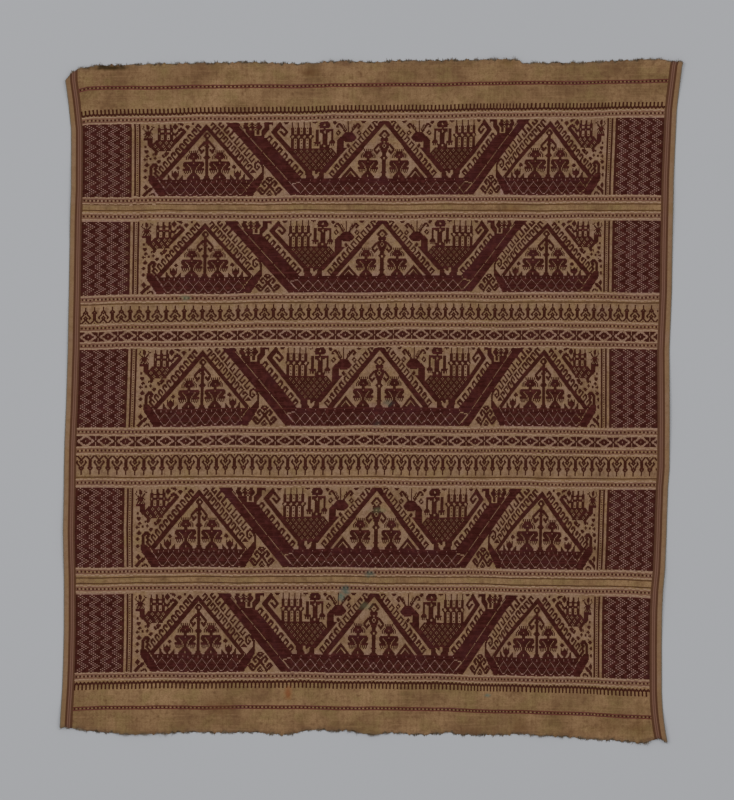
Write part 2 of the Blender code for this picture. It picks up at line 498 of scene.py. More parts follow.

# The field's motifs are placed by q across and r down, both in cells from its upper left corner.
# Their places were read off enlarged views of the cloth with a grid over them.
column, r = np.meshgrid(np.arange(FIELD_HALF) + 0.5, np.arange(BAND_PICKS) + 0.5)
q = np.where(column < SPREAD_FROM, column, SPREAD_FROM + (column - SPREAD_FROM) * SPREAD)
field = np.zeros((BAND_PICKS, FIELD_HALF), bool)


def line(points, wide, u=q, v=r):
    """The cells within half the width of a line through the points."""
    hit = np.zeros(np.shape(u), bool)
    for (u0, v0), (u1, v1) in zip(points, points[1:]):
        du, dv = u1 - u0, v1 - v0
        t = np.clip(((u - u0) * du + (v - v0) * dv) / (du * du + dv * dv), 0, 1)
        hit |= np.hypot(u - u0 - t * du, v - v0 - t * dv) <= wide / 2
    return hit


def area(points, u=q, v=r):
    """The cells inside a closed outline."""
    inside = np.zeros(np.shape(u), bool)
    for (u0, v0), (u1, v1) in zip(points, points[1:] + points[:1]):
        if v0 != v1:
            crosses = (v0 > v) != (v1 > v)
            inside ^= crosses & (u < (u1 - u0) * (v - v0) / (v1 - v0) + u0)
    return inside


def gem(middle_u, middle_v, half_u, half_v, u=q, v=r):
    """The cells inside a diamond."""
    return abs(u - middle_u) / half_u + abs(v - middle_v) / half_v <= 1


RING_HOLE = 0.4                 # a ring's hole, as a share of its size


def ring(middle_u, middle_v, half_u, half_v):
    """A diamond with a hole."""
    hole = gem(middle_u, middle_v, half_u * RING_HOLE, half_v * RING_HOLE)
    return gem(middle_u, middle_v, half_u, half_v) & ~hole


def stamp(rows, axis, top):
    """Draw a motif both ways from its axis column: # dark, . light, nothing beyond the last mark."""
    for down, text in enumerate(rows):
        for out, mark in enumerate(text):
            for place in {axis - out, axis + out}:
                if 0 <= place < FIELD_HALF:
                    field[top + down, place] = mark == "#"


def draw(rows, left, top):
    """Draw a motif as it stands."""
    for down, text in enumerate(rows):
        for across, mark in enumerate(text):
            field[top + down, left + across] = mark == "#"


def knots(places):
    """Small open diamonds of pale ground, one cell dark in the middle."""
    for across, down in places:
        for step_across, step_down in ((0, -1), (1, 0), (0, 1), (-1, 0)):
            field[down + step_down, across + step_across] = False


HOOK_WIDE = 2.35
HOOK_ROOT = -1.5                # hooks start this far inside their bar


def hooks(out, along, starts, reach, cap, back):
    """A row of square hooks along a bar: a leg outwards, a cap along the bar, and a short leg back."""
    for start in starts:
        path = [(HOOK_ROOT, start), (reach, start), (reach, start + cap), (back, start + cap)]
        field[line(path, HOOK_WIDE, out, along)] = True


DECK = 50.7                     # top of both hulls
FIGURE = (
    # a hatted figure with spread fingers, from its middle outwards
    "#.#.#",
    "#.#.#",
    "####",
    "####.#",
    "#####.#",
    ".#####.#",
    "######.#",
    "####.#.#",
    "##",
    "##",
    "##########",
    ".##########",
    "######.####",
    "#####.#####",
    "####.#####",
    "###.#####",
    "###.#######",
    "##.########",
    "##.#.#.#.#",
    "##.#.#.#.#",
    "###...#.#",
    "####",
    "#####",
    ".#####",
    ".######",
    "#######",
    "######",
)
HAT_TOP = 25

# The small ship: a roof of two bars with hooks along it, and a hull with a latticed side and a
# curled prow at each end.
SMALL_AXIS = 63.2
ROOF_TOP = 1.55
ROOF_UNDER = 7.2                # how far the bars' undersides lie below the same line
HOOK_PITCH = 8.15
NOWHERE = -99                   # a distance that keeps a hook off the other side of the roof
from_axis = abs(q - SMALL_AXIS)
outwards, along = from_axis - r + ROOF_TOP, from_axis + r
field[(from_axis <= r - ROOF_TOP) & (from_axis > r - ROOF_UNDER) & (r < 51)] = True
for side, first, last in ((q < SMALL_AXIS, 14.6, 98), (q > SMALL_AXIS, 11.8, 87)):
    hooks(np.where(side, outwards, NOWHERE), along, np.arange(first, last, HOOK_PITCH), 7.6, -4.4, 3.6)
field[area([(5.8, DECK), (121, DECK), (121, 50), (110, 66.5), (17.2, 66.5), (6.2, 52)])] = True
field[line([(8.3, 50), (8.3, 40), (11.8, 36.9), (14.3, 38.6), (12.5, 41.3)], 2.6)] = True
field[area([(5.6, 51), (6.8, 46), (10.2, 46.6), (14.8, 49.4), (15, 52), (7, 52)])] = True
field[line([(119.6, 49), (119.8, 40), (117.8, 36.3), (114.5, 34.9), (111.6, 37.6), (112.6, 41.2), (114.6, 42),
            (116, 40.2), (114.6, 39.0)], 1.9)] = True
field[area([(107.4, 44.6), (110.4, 41.6), (113, 44.6)])] = True
field[area([(115, 48.6), (118.6, 45), (121, 45), (121, 52), (111, 52)])] = True
peak = abs((q - 27.6 + 5) % 10 - 5)
small_side = (q > 22.7) & (q < 104)
field[small_side & (abs(r - 54.6 - 1.07 * peak) < 0.5)] = False
field[small_side & (abs(r - 65.0 + 0.9 * peak) < 0.5)] = False
field[line([(15, 50), (18.4, 54.4), (22.8, 59.6)], 0.9)] = False
field[line([(111, 50.4), (104, 59)], 0.9)] = False
for notch in range(23, 104, 5):
    field[52:54 if notch % 10 == 3 else 53, notch] = False
for notch in range(23, 110, 10):
    field[65, notch:notch + 2] = False

# Under the small roof: a tree, two figures, thistles and diamonds.
tree_out = abs(q - 63.6)
field[gem(0, 12, 4.4, 3.4, tree_out) & ~gem(0, 12, 1.6, 1.5, tree_out)] = True
field[line([(0, 17.0), (1.4, 17.4), (7.7, 23.4), (5.4, 27.0), (3.2, 25.0)], 2.2, tree_out)] = True
field[(tree_out < 1.5) & (r > 15) & (r < DECK)] = True
field[gem(0, 21.8, 2.6, 3.2, tree_out)] = True
field[gem(0, 31.6, 4.0, 2.9, tree_out) & ~gem(0, 31.6, 1.1, 1.1, tree_out)] = True
field[area([(-1, 47.4), (2.8, 47.8), (2.0, 48.8), (4.4, 51), (-1, 51)], tree_out)] = True
stamp(FIGURE, 50, HAT_TOP)
stamp(FIGURE, 76, HAT_TOP)
for thistle in (32.6, 94.4):
    near = abs(q - thistle)
    field[area([(-1, 43.4), (0.7, 43.4), (1.6, 44.8), (3.4, 45.2), (3.7, 46.8), (1.1, 50), (1.1, 51.5),
                (-1, 51.5)], near)] = True
    field[line([(2.8, 43.8), (2.6, 45.4)], 1.0, near)] = True
    field[area([(7.2, 46.2), (7.3, 51.5), (2.4, 51.5), (3.4, 50.4)], near)] = True
for place in ((34.8, 40.4, 1.9, 2.2), (91.1, 39.9, 2.3, 2.0)):
    field[gem(*place)] = True

# The small bird vessel in the top corner: plume, neck, three spires, netted basket, feet and tail.
PLUME = (
    "....##......",
    ".#..###..#..",
    ".#..###...##",
    "#...###..#..",
    ".#...#..##..",
    "..##.#.##...",
    "...#####....",
    "..#######...",
    ".#.#####.#..",
    "...#####....",
    "..##.##.#...",
    "..#..#.#.#..",
)
draw(PLUME, 0, 1)
field[area([(0.4, 14.2), (2, 12.8), (5.4, 12.3), (5.4, 14.6), (1, 15.1)])] = True
field[area([(5.2, 12.7), (10.2, 12.7), (10.2, 18.4), (13.6, 15.4), (31.2, 15.4), (32.3, 18.6), (27, 25.2),
            (11.6, 25.2), (5.2, 19.5)])] = True
for spire in (16.4, 22.2, 28.1):
    field[line([(spire, 1.4), (spire, 5)], 1.7)] = True
    field[(abs(q - spire) < 1.5) & (r > 4.4) & (r < 15.6)] = True
field[area([(14.2, 8.8), (15.2, 8.0), (30, 8.0), (31.4, 9.2), (30, 10), (14.8, 10)])] = True
for spire in (16.4, 22.2, 28.3):
    field[gem(spire, 9.2, 0.9, 0.9)] = False
for dot in (19.4, 25.2):
    field[gem(dot, 5.6, 1.8, 0.7) | gem(dot, 13.3, 0.8, 0.9)] = True
field[line([(41.2, 8.0), (30.5, 17.8)], 3.8)] = True
field[line([(36.2, 6.4), (38.4, 5.2), (40.6, 7.2)], 2.4)] = True
field[line([(36, 6.6), (32.3, 10.9), (30.2, 9.2)], 1.7)] = True
field[area([(12.2, 25), (15.6, 25), (15.4, 27.6), (14, 29), (12.4, 28.6)])] = True
field[line([(12.4, 27), (10.4, 27.2), (10.4, 29)], 1.0)] = True
field[area([(23.4, 25), (26, 26.2), (25.8, 27.8), (22.6, 30.2), (20.6, 30.9), (19.2, 29.6), (19.6, 28),
            (21.4, 27.2)])] = True
field[gem(21.7, 28.7, 0.8, 0.8)] = False
knots(((17, 17), (23, 17), (28, 17), (12, 20), (20, 20), (26, 20), (15, 23), (22, 23)))

# Loose diamonds in the gaps of the field.
DIAMONDS = (
    # across, down, half width, half height
    (3, 21, 1.9, 1.4), (4, 25, 3.0, 1.2), (4, 26, 1.2, 1.0), (4.8, 29.3, 2.1, 1.6), (2.7, 32.5, 1.8, 1.4),
    (8, 32.1, 1.8, 1.2), (12.5, 31.3, 1.6, 1.8), (16.3, 34.4, 2.3, 2.0), (4.7, 37.3, 2.7, 2.3),
    (3, 42.2, 2.0, 2.0), (3, 48.2, 2.2, 2.1), (3.3, 57.7, 2.6, 2.4), (32.5, 3, 2.6, 2.6),
    (39.4, 1.4, 2.2, 1.8), (36.6, 0.5, 1.6, 0.9), (44.5, 3.8, 2.8, 2.2), (50, 0.6, 1.6, 1.4),
    (207.2, 22.4, 2.2, 2.0), (232.8, 18.7, 2.1, 2.2), (214.3, 39.4, 2.5, 2.5), (143.5, 0.4, 3.0, 2.0),
    (172.6, 0, 2.8, 2.2), (193.2, 1.2, 2.4, 1.8), (223.3, 0.4, 3.0, 2.2),
)
for place in DIAMONDS:
    field[gem(*place)] = True
field[line([(1.8, 64.4), (8.4, 59.2)], 2.8)] = True
field[line([(7.6, 64.9), (10.4, 63.3), (12.8, 65)], 1.3)] = True

# The big ship's prow, a broad band with a pale line down its middle, a crown, and hooks on both sides.
PROW_LEFT = 82.2
PROW_RIGHT = 108.0
PROW_LINE = 93.0
slant = q - r
hooks(PROW_LEFT - slant, q + r, np.arange(77.9, 140, 10.12), 8.8, 5.1, 4.2)
hooks(slant - PROW_RIGHT, q + r, np.arange(143.6, 210, 10.53), 6.0, -4.8, 1.4)
field[(slant >= PROW_LEFT) & (slant <= PROW_RIGHT) & (r > 0.4)] = True
field[area([(94.6, -1), (132, -1), (132, 6), (126.5, 10), (122, 14.4), (119, 12), (104, 9),
            (101.8, 8.2)])] = False
field[area([(101.6, 0.2), (126, 0.2), (125.6, 6.8), (121, 11.6), (120.9, 14.2), (122.6, 14.8), (104, 14),
            (102.4, 8), (99.8, 3.4), (100.2, 2)])] = True
for gap in (
    [(105.6, -1), (108.3, -1), (108.3, 1.2), (105, 1.5)],
    [(110.2, -1), (114.4, -1), (113.8, 1.4), (110.4, 1.4)],
    [(116.2, -1), (121.2, -1), (120.6, 4.6), (119, 6.6), (118.9, 3.4), (117.6, 1.8)],
):
    field[area(gap)] = False
jewels = ring(106.4, 2.5, 2.0, 1.9) | gem(107, 6.2, 1.3, 2.1)
jewels |= ring(112.2, 2.5, 2.2, 1.9) | ring(112, 6.4, 2.2, 1.9)
field[jewels] = False
field[line([(112, 8), (112, 11.4), (117.2, 11.4), (117.2, 7.4), (119.4, 5)], 1.5)] = False
field[line([(125, 0.8), (129.4, 0.8), (129.6, 2.2)], 1.4)] = True

# The spiral bar beside the prow's hooks.
field[(slant >= 118.5) & (slant <= 124.8) & (r > 8.6) & (r < 51)] = True
field[line([(130.4, 9.2), (137.2, 2.4)], 4.6)] = True
field[line([(138, 3.2), (143.8, 8.9)], 2.6)] = True
field[line([(143.8, 9), (141, 12), (137, 8.5)], 2.1)] = True
field[line([(135.6, 9.6), (139.8, 13.8)], 1.8)] = False

# The great bird vessel amidships: four spires, a hatted figure, the bird's neck and head, and a
# basket whose net is drawn as small diamonds.
SPIRES = (149.6, 155.7, 161.6, 167.7)
for spire in SPIRES:
    field[(abs(q - spire) < 0.7) & (r < 5)] = True
    field[(abs(q - spire) < 1.5) & (r > 4.6) & (r < 24.6)] = True
field[area([(146.5, 13.1), (148.2, 11.3), (169.2, 11.3), (171.4, 13.2), (169.2, 15), (148.2, 15)])] = True
for spire in SPIRES:
    field[gem(spire, 13.1, 1.6, 1.6)] = False
for ladder in (152, 158, 164):
    field[[5, 8, 16, 19, 22], ladder] = True
SEATED_AXIS = 182.3
seat = abs(q - SEATED_AXIS)
field[area([(-1, 0.2), (4.2, 0.2), (6.2, 3.9), (4.6, 6), (1.2, 6), (1.2, 7.4), (5.6, 7.4), (5.4, 9.2),
            (2.7, 10.6), (2.6, 20), (5.6, 22), (4.6, 24.6), (-1, 24.6)], seat)] = True
field[area([(6.4, 7.4), (9, 7.4), (9, 17), (11.2, 18.8), (10.6, 19.8), (4.6, 19.8), (4.2, 18.8),
            (6.6, 17)], seat)] = True
for finger in (5.2, 7.4, 9.6):
    field[(abs(seat - finger) < 0.6) & (r > 19) & (r < 21.6)] = True
field[gem(0, 3.4, 1.3, 1.4, seat) | gem(0, 9.5, 1.3, 1.7, seat) | gem(0, 21.9, 1.3, 1.6, seat)] = False
basket = (slant > 118.5) & (q + r < 229.8) & (r > 24.4) & (r < 46)
basket &= ~area([(188, 22), (191.2, 25), (194.4, 29), (195.4, 28.8), (195.2, 20)])
field[basket] = True
NET_STEP = 6                    # columns from one of the net's diamonds to the next in its row
NET_ROW = 3                     # picks from row to row
NET_TOP = 26
for row in range(6):
    down = NET_TOP + NET_ROW * row
    first = 146 + NET_ROW * (row % 2)
    low, high = 125 + down, 222 - down
    knots([(across, down) for across in range(first, 210, NET_STEP) if low < across < high])
field[area([(195.3, 17.6), (200, 13.6), (204, 10.8), (207, 9.8), (211.4, 9.8), (216.3, 14.8), (210.8, 19.8),
            (208.6, 18.4), (206.8, 19.2), (202.6, 18.2), (202.6, 27.2), (198, 31.6), (195.3, 29)])] = True
field[area([(163, 45), (182, 45), (181.6, 51), (164, 51)])] = True
field[area([(170, 44.3), (172.8, 44.5), (173.4, 47.3), (175.2, 47.3), (175.8, 44.5), (177.8, 45),
            (177, 48), (175, 51), (172.4, 51), (170.4, 47.5)])] = False
field[(abs(q - 207.3) < 0.8) & (r < 10.5)] = True
for crest in (
    [(204.3, 10), (198.3, 2.6), (194.8, 4.6), (196.4, 5.6)],
    [(210.5, 9.8), (217.3, 2.4), (219.6, 4.4), (217.9, 5.8)],
):
    field[line(crest, 1.8)] = True
for ray in ([(205.8, 9), (202, 3.6)], [(210.6, 8), (213.6, 3.2)]):
    field[line(ray, 0.9)] = True
field[ring(196.6, 10.8, 3.0, 2.9) | ring(218.7, 10.8, 3.0, 2.8)] = True

# The great roof over the middle of the big ship, with its tree, figures and nested triangles.
MIDDLE_AXIS = 245.4
mid = MIDDLE_AXIS - q
hooks(241.3 - q - r, q - r, np.arange(231.4, 140, -9.98), 6.8, 4.8, 2.0)
field[(q + r > 241.3) & (r < 51)] = True
field[(q + r > 248) & (r < 51)] = False
field[gem(0, 12.2, 6.3, 5.0, mid) & ~gem(0, 12.4, 3.4, 2.9, mid)] = True
field[gem(0, 12.6, 1.0, 1.0, mid)] = True
field[area([(-1, 15.6), (4.4, 15.2), (3.8, 17.6), (-1, 17.6)], mid)] = True
field[line([(2, 19.4), (5.4, 20.7), (10.2, 25.4), (7.8, 28.6), (5.6, 26.4)], 2.3, mid)] = True
field[area([(-1, 18.8), (3, 18.8), (6, 20.6), (3.4, 26), (1.8, 30), (-1, 30)], mid)] = True
field[gem(0, 22, 2.6, 2.6, mid) & ~gem(0, 22, 1.1, 1.1, mid)] = False
field[(mid < 1.6) & (r > 26) & (r < DECK)] = True
field[gem(0, 32.6, 4.4, 2.8, mid)] = True
field[gem(0, 32.8, 1.3, 1.2, mid)] = False
field[area([(-1, 44.4), (3.2, 45.3), (1.8, 46.8), (2.4, 48.6), (4.6, 51), (-1, 51)], mid)] = True
stamp(FIGURE, 227, HAT_TOP)
NESTED_AXIS = 210.3
nested = r - 41 - abs(q - NESTED_AXIS)
field[(nested > 0) & (r < 51)] = True
field[(nested > 3.4) & (nested < 4.7) & (r < 50)] = False
field[(r > DECK) & (slant >= PROW_LEFT)] = True
field[line([(158.3, 54), (150, 55.8), (157.6, 63.4)], 0.9)] = False
peak = abs((q - 167.8 + 5) % 10 - 5)
big_side = q > 158
field[big_side & (abs(r - 54.8 - 1.03 * peak) < 0.5)] = False
field[big_side & (abs(r - 64.8 + 0.95 * peak) < 0.5)] = False
for notch in range(158, FIELD_HALF, 10):
    field[52, notch] = False
for notch in range(153, FIELD_HALF, 10):
    field[65, notch] = False
field[(abs(slant - PROW_LINE) < 0.5) & (r > 3) & (r < 63) & (r % 13 > 1)] = False

# The crossed hooks in the gap between the two hulls.
between = area([(121, 36), (121, 50.4), (109.6, 66), (109.6, 67), (149, 67)]) & (slant < PROW_LEFT)
field[between | ((q > 121) & (r > 33) & (slant < PROW_LEFT))] = False
cross = abs(q - 126.9)
field[line([(0, 56.7), (4.7, 52.9), (7.5, 55), (5.0, 57.2)], 1.9, cross)] = True
field[line([(0, 56.7), (6.9, 64.6), (11.8, 60.7), (9.3, 58.5), (7.0, 60.9)], 1.9, cross)] = True
top = area([(-1, 49), (2, 49), (4.3, 51), (0, 53.8), (-1, 53.8)], cross)
field[top & ~gem(0, 50.7, 1.2, 0.9, cross)] = True
field[line([(0, 61.4), (3.0, 65)], 1.0, cross)] = True
field[area([(-1, 63.8), (0.2, 63.8), (2.2, 66), (-1, 66)], cross)] = True

# The side panels: a net of pale dots that shows in zigzags. Beside each, stripes and a dotted line.
CHEVRON = ((2, 6), (4,), (2, 6), (4, 8), (6, 10), (8, 12), (6, 10), (4, 8))
panel = np.ones((BAND_PICKS, PANEL), bool)
for row in range(BAND_PICKS):
    for place in CHEVRON[(row - 7) % 8]:
        for cell in (place, place + 1):
            panel[row, cell:PANEL - 1:12] = False
stripes = np.zeros((BAND_PICKS, STRIPES), bool)
stripes[:, [3, 4, 8, 9]] = True
stripes[::2, 6] = True
# The right-hand small ship was woven two or three steps longer at its outer end.
OUTER_END = 2.4
other_field = field.copy()
taken = np.arange(FIELD_HALF) + OUTER_END * np.clip((38 - np.arange(FIELD_HALF)) / 24, 0, 1)
other_field[36:] = field[36:, np.clip(np.round(taken).astype(int), 0, FIELD_HALF - 1)]
blank = np.zeros_like(panel)
ships = np.concatenate([blank, stripes, field, other_field[:, ::-1], stripes[:, ::-1], blank], axis=1)
panels = np.concatenate([panel, np.zeros((BAND_PICKS, BAND_COLUMNS - 2 * PANEL), bool), panel], axis=1)
# The floats of the hulls and of the great baskets are slack and close over the net's single
# cells, so they are woven wider.
HULL_ROW = 51
netted = basket | (r > HULL_ROW)
beside = np.zeros((BAND_PICKS, PANEL + STRIPES), bool)
hulls = ships & np.concatenate([beside, netted, netted[:, ::-1], beside], axis=1)
ships = ships & ~hulls

# Where a column of the chart lies across the cloth: the warp was spaced wider at the left.
COLUMN_PLACES = (
    # column, distance from the pattern's left side in steps
    (0, 0.0), (52, 50.8), (62, 59.8), (125, 124.0), (179, 178.0), (240, 238.4), (306, 302.4),
    (343.3, 337.0), (367.5, 360.2), (400.4, 391.9), (455.5, 436.6), (467.5, 448.0), (486.1, 467.5),
    (528, 504.4), (544.8, 519.6), (550, 523.6), (560, 532.0), (612, 582.0),
)
LEFT_MARGIN = 12.0
RIGHT_MARGIN = 12.5


def column_across(column, down, places=COLUMN_PLACES):
    """How far across a column of the chart lies at a place down the cloth."""
    left = read(LEFT_SELVEDGE, down) + LEFT_MARGIN
    right = read(RIGHT_SELVEDGE, down) - RIGHT_MARGIN
    share = read(places, column) / COLUMN_PLACES[-1][1]
    return left + (right - left) * share


def runs_of(row):
    """First and last column of each unbroken run of dark cells."""
    edges = np.flatnonzero(np.diff(np.concatenate([[0], row.astype(np.int8), [0]])))
    return zip(edges[::2], edges[1::2])


SLACK = 0.1                     # how far a float may start or end off its column
EVEN_TONE = 0.5                 # the usual shade of a pick, and how far picks differ
TONE_SPREAD = 0.12


def chart_floats(chart, edges, spread=0.55, widen=0.08):
    """Every run of a chart woven between two edges: start, end, three heights, half width, shade."""
    top, bottom = np.asarray(edges[:3], float), np.asarray(edges[3:], float)
    picks = len(chart)
    pitch = (bottom - top).mean() / picks
    floats = []
    for pick, row in enumerate(chart):
        heights = top + (bottom - top) * (pick + 0.5) / picks
        shade = chance.normal(EVEN_TONE, TONE_SPREAD)
        for start, end in runs_of(row):
            slack = chance.uniform(-SLACK, SLACK, 2)
            floats.append((start - widen + slack[0], end + widen + slack[1], heights, spread * pitch, shade))
    return floats


CROWN = 0.0003                  # height of a float over the ground
BED = 0.00004                   # gap that keeps a float's foot clear of the ground's face
STATION_STEP = 9.0              # columns between a long float's stations
DIP = 0.3                       # columns over which a float dips to the ground, at most a quarter of it
END_GAP = 0.02
TIP = 0.8                       # a float's width at its ends
LONG_FLOAT = 12.0               # columns at which a float shows its full colour


def weave(name, floats, material, crown=CROWN, places=COLUMN_PLACES):
    """Lay floats as slim crowned ribbons that dip into the ground at both ends."""
    column, heights, half, shade, rise, first, length = [], [], [], [], [], [], []
    for start, end, line_heights, half_width, tone in floats:
        inset = min(DIP, (end - start) * 0.25)
        count = max(1, int(round((end - start) / STATION_STEP)))
        stations = [start + END_GAP, *np.linspace(start + inset, end - inset, count + 1), end - END_GAP]
        column += stations
        rise += [0.0] + [1.0] * (count + 1) + [0.0]
        heights += [line_heights] * len(stations)
        half += [half_width] * len(stations)
        shade += [tone] * len(stations)
        length += [min((end - start) / LONG_FLOAT, 1.0)] * len(stations)
        first += [True] + [False] * (len(stations) - 1)
    column, heights, half, rise = (np.array(x) for x in (column, heights, half, rise))
    across = column_across(column, heights[:, 1], places)
    for _ in range(2):
        down = line_down(heights, across)
        across = column_across(column, down, places)
    points = []
    for side, up in ((-1, 0.0), (0, 1.0), (1, 0.0)):
        width = side * half * (TIP + (1 - TIP) * rise)
        points.append(on_cloth(across, down + width, BED + crown * rise * up))
    points = np.stack(points, axis=1).reshape(-1, 3)
    joined = np.flatnonzero(~np.array(first)[1:])
    low = joined[:, None] * 3
    quads = np.concatenate([low + (0, 1, 4, 3), low + (1, 2, 5, 4)])
    piece = make_piece(name, points, quads.tolist(), material)
    store(piece.data, "tone", np.repeat(np.array(shade), 3))
    store(piece.data, "length", np.repeat(np.array(length), 3))
    return piece
    store(piece.data, "length", np.repeat(np.array(short), 3))
    return piece


# The pattern yarn is cotton dyed with morinda and bark to a deep maroon. It has faded unevenly from
# pick to pick, goes purplish in patches, and shows brown where only a cell or two float.
MAROON = "#371410"
MAROON_LIGHT = "#532925"
MAROON_PURPLE = "#452022"
THIN_BROWN = "#3E2014"
THIN_AMOUNT = 0.75


def dyed_cotton(name, deep, light, cool, thin, thin_amount=THIN_AMOUNT):
    """A matt yarn: its shade differs from pick to pick, and it is cooler, rubbed or thin in places."""
    # At their coarsest the patches are 29 mm across, the yarn's streaks 11 by 1.1 and the clouds 5.
    material, tree = new_material(name)
    place = add(tree, "ShaderNodeTexCoord").outputs["Object"]
    tone = add(tree, "ShaderNodeAttribute", attribute_name="tone").outputs["Fac"]
    length = add(tree, "ShaderNodeAttribute", attribute_name="length").outputs["Fac"]
    patch = add(tree, "ShaderNodeTexNoise", {"Vector": place, "Scale": 34.0, "Detail": 4.0,
                                             "Roughness": 0.65})
    along = add(tree, "ShaderNodeVectorMath", {0: place, 1: (90.0, 900.0, 1.0)}, operation="MULTIPLY")
    yarn = add(tree, "ShaderNodeTexNoise", {"Vector": along.outputs[0], "Scale": 1.0, "Detail": 3.0})
    cloud = add(tree, "ShaderNodeTexNoise", {"Vector": place, "Scale": 210.0, "Detail": 2.0})
    colour = lay(tree, linear(deep), (
        (tone, 0.42, 1.0, 0.0, 0.8, light),
        (patch.outputs["Fac"], 0.48, 0.68, 0.0, 0.75, cool),
        (yarn.outputs["Fac"], 0.5, 0.78, 0.0, 0.6, light),
        (cloud.outputs["Fac"], 0.5, 0.72, 0.0, 0.7, light),
        (length, 0.15, 0.8, thin_amount, 0.0, thin),
    ))
    colour = stain_over(tree, colour, place)
    bump = add(tree, "ShaderNodeBump", {"Strength": 0.3, "Distance": 0.0003, "Height": yarn.outputs["Fac"]})
    shader = add(tree, "ShaderNodeBsdfPrincipled", {"Base Color": colour, "Roughness": 0.85, "IOR": 1.46,
                                                   "Specular IOR Level": 0.1, "Normal": bump.outputs[0]})
    add(tree, "ShaderNodeOutputMaterial", {0: shader.outputs[0]})
    return material


HULL_WIDEN = 0.22               # how far past their columns the floats of the hulls and panels close
PANEL_WIDEN = 0.33
maroon_cotton = dyed_cotton("morinda_dyed_cotton_floats", MAROON, MAROON_LIGHT, MAROON_PURPLE, THIN_BROWN)
for number, edges in enumerate(SHIP_BANDS, start=1):
    floats = chart_floats(ships, edges) + chart_floats(hulls, edges, widen=HULL_WIDEN)
    floats += chart_floats(panels, edges, widen=PANEL_WIDEN)
    weave(f"ship_band_{number}", floats, maroon_cotton)

# Borders of trees and posts, and of diamonds, beside the middle band. The lower tree border hangs
# upside down.
TREE = (
    # 18 columns: the tree's axis, then out to the post's axis
    "#........#",
    "#........#",
    "#........#",
    "#........#",
    "##......##",
    ".##....##.",
    "###....###",
    "#.#.....##",
    "..##....##",
    "#..##...##",
    "##..##..##",
    ".##.##..##",
    "##..#...##",
    "##......##",
    ".##....##.",
    "..##..##..",
    "#..####..#",
)
TREE_REPEAT = 18
TREE_START = 5
DIAMOND_BORDER = (
    # 20 columns: the point between two diamonds, then out to the diamond's middle
    ".######....",
    ".#####....#",
    ".####...###",
    ".##....####",
    "##...#####.",
    "##...#####.",
    ".##....####",
    ".####...###",
    ".#####....#",
    ".######....",
)
DIAMOND_REPEAT = 20
BORDER_COLUMNS = 607
BORDER_PLACES = (
    # column, distance from the pattern's left side in steps: the borders are spaced more evenly
    (0, 0.0), (60, 59.6), (125, 125.3), (170, 170.2), (306, 304.2), (590, 566.0), (612, 586.0),
)


def repeat(rows, length, columns, start=0):
    """A mirrored repeat, drawn over and over along the weft."""
    chart = np.zeros((len(rows), columns), bool)
    for down, text in enumerate(rows):
        for column in range(columns):
            place = (column - start) % length
            place = min(place, length - place)
            chart[down, column] = text[place] == "#"
    return chart


BORDER_WIDEN = 0.2
DIAMOND_STARTS = (18, 19)
trees = repeat(TREE, TREE_REPEAT, BORDER_COLUMNS, TREE_START)
floats = chart_floats(trees, TREE_BORDERS[0], widen=BORDER_WIDEN)
floats += chart_floats(trees[::-1], TREE_BORDERS[1], widen=BORDER_WIDEN)
weave("tree_borders", floats, maroon_cotton, places=BORDER_PLACES)
floats = []
for edges, start in zip(DIAMOND_BORDERS, DIAMOND_STARTS):
    floats += chart_floats(repeat(DIAMOND_BORDER, DIAMOND_REPEAT, BORDER_COLUMNS, start), edges)
weave("diamond_borders", floats, maroon_cotton, places=BORDER_PLACES)

# Guard lines. Between the bands run narrow lines: two red-brown picks with dark dots between them,
# and a pale cord of thick undyed cotton on each side; also single brown picks, red dotted lines
# across the plain ends, and a comb of short teeth outside the first and last bands.
GUARDS = (
    (120.6, 116.9, 113.3), (200.9, 199.6, 199.2), (216.6, 216.4, 215.7), (300.0, 296.7, 297.3),
    (328.5, 325.0, 326.9), (345.9, 343.6, 345.3), (432.3, 430.5, 433.0), (450.9, 449.9, 452.7),
    (482.8, 482.8, 485.5), (571.5, 572.0, 575.6), (588.6, 588.2, 593.0), (676.3, 677.0, 684.0),
)
BROWN_LINES = (
    (204.6, 204.5, 204.2), (210.5, 210.4, 210.8), (304.8, 302.2, 302.9), (477.4, 477.0, 479.3),
    (577.7, 576.6, 580.8), (583.3, 583.0, 587.7),
)
RED_LINES = ((88.3, 85.1, 81.5), (708.2, 708.4, 717.5))
COMBS = (
    # top left, middle, right; bottom left, middle, right; teeth up or down
    (110.0, 105.2, 102.1, 116.9, 112.6, 109.0, "up"),
    (681.7, 680.7, 689.4, 689.7, 688.7, 697.0, "down"),
)
GUARD_RED = "#664638"
CRIMSON = "#562E26"
CORD_PALE = "#8E725B"
BROWN = "#4A3222"
LINE_THIN = 0.3                 # these lines' yarns go less brown where they are short
red_cotton = dyed_cotton("faded_red_cotton_picks", GUARD_RED, "#745242", "#5E3E3A", GUARD_RED, LINE_THIN)
crimson_cotton = dyed_cotton("faded_crimson_cotton_picks", CRIMSON, "#6C4038", "#563032", CRIMSON, LINE_THIN)
brown_cotton = dyed_cotton("brown_cotton_picks", BROWN, "#5E4228", "#4A3026", BROWN, LINE_THIN)
pale_cotton = dyed_cotton("thick_undyed_cotton_cords", CORD_PALE, "#9A7E66", "#836652", CORD_PALE, LINE_THIN)
RED_FROM_DOTS = 1.6             # steps from a guard line's dots to its red picks and pale cords
CORD_FROM_DOTS = 3.2
CRIMSON_FROM_DOTS = 1.3
DOT_REPEAT = 4                  # columns from dot to dot
DOT_WIDE = 2
CORD_CROWN = 0.0004
TOOTH = ("#..", "#..", "#..", "#..", "#..", "##.", ".##", "..#")
TOOTH_WIDTH = 0.6               # a tooth's half width, and how far it closes past its columns
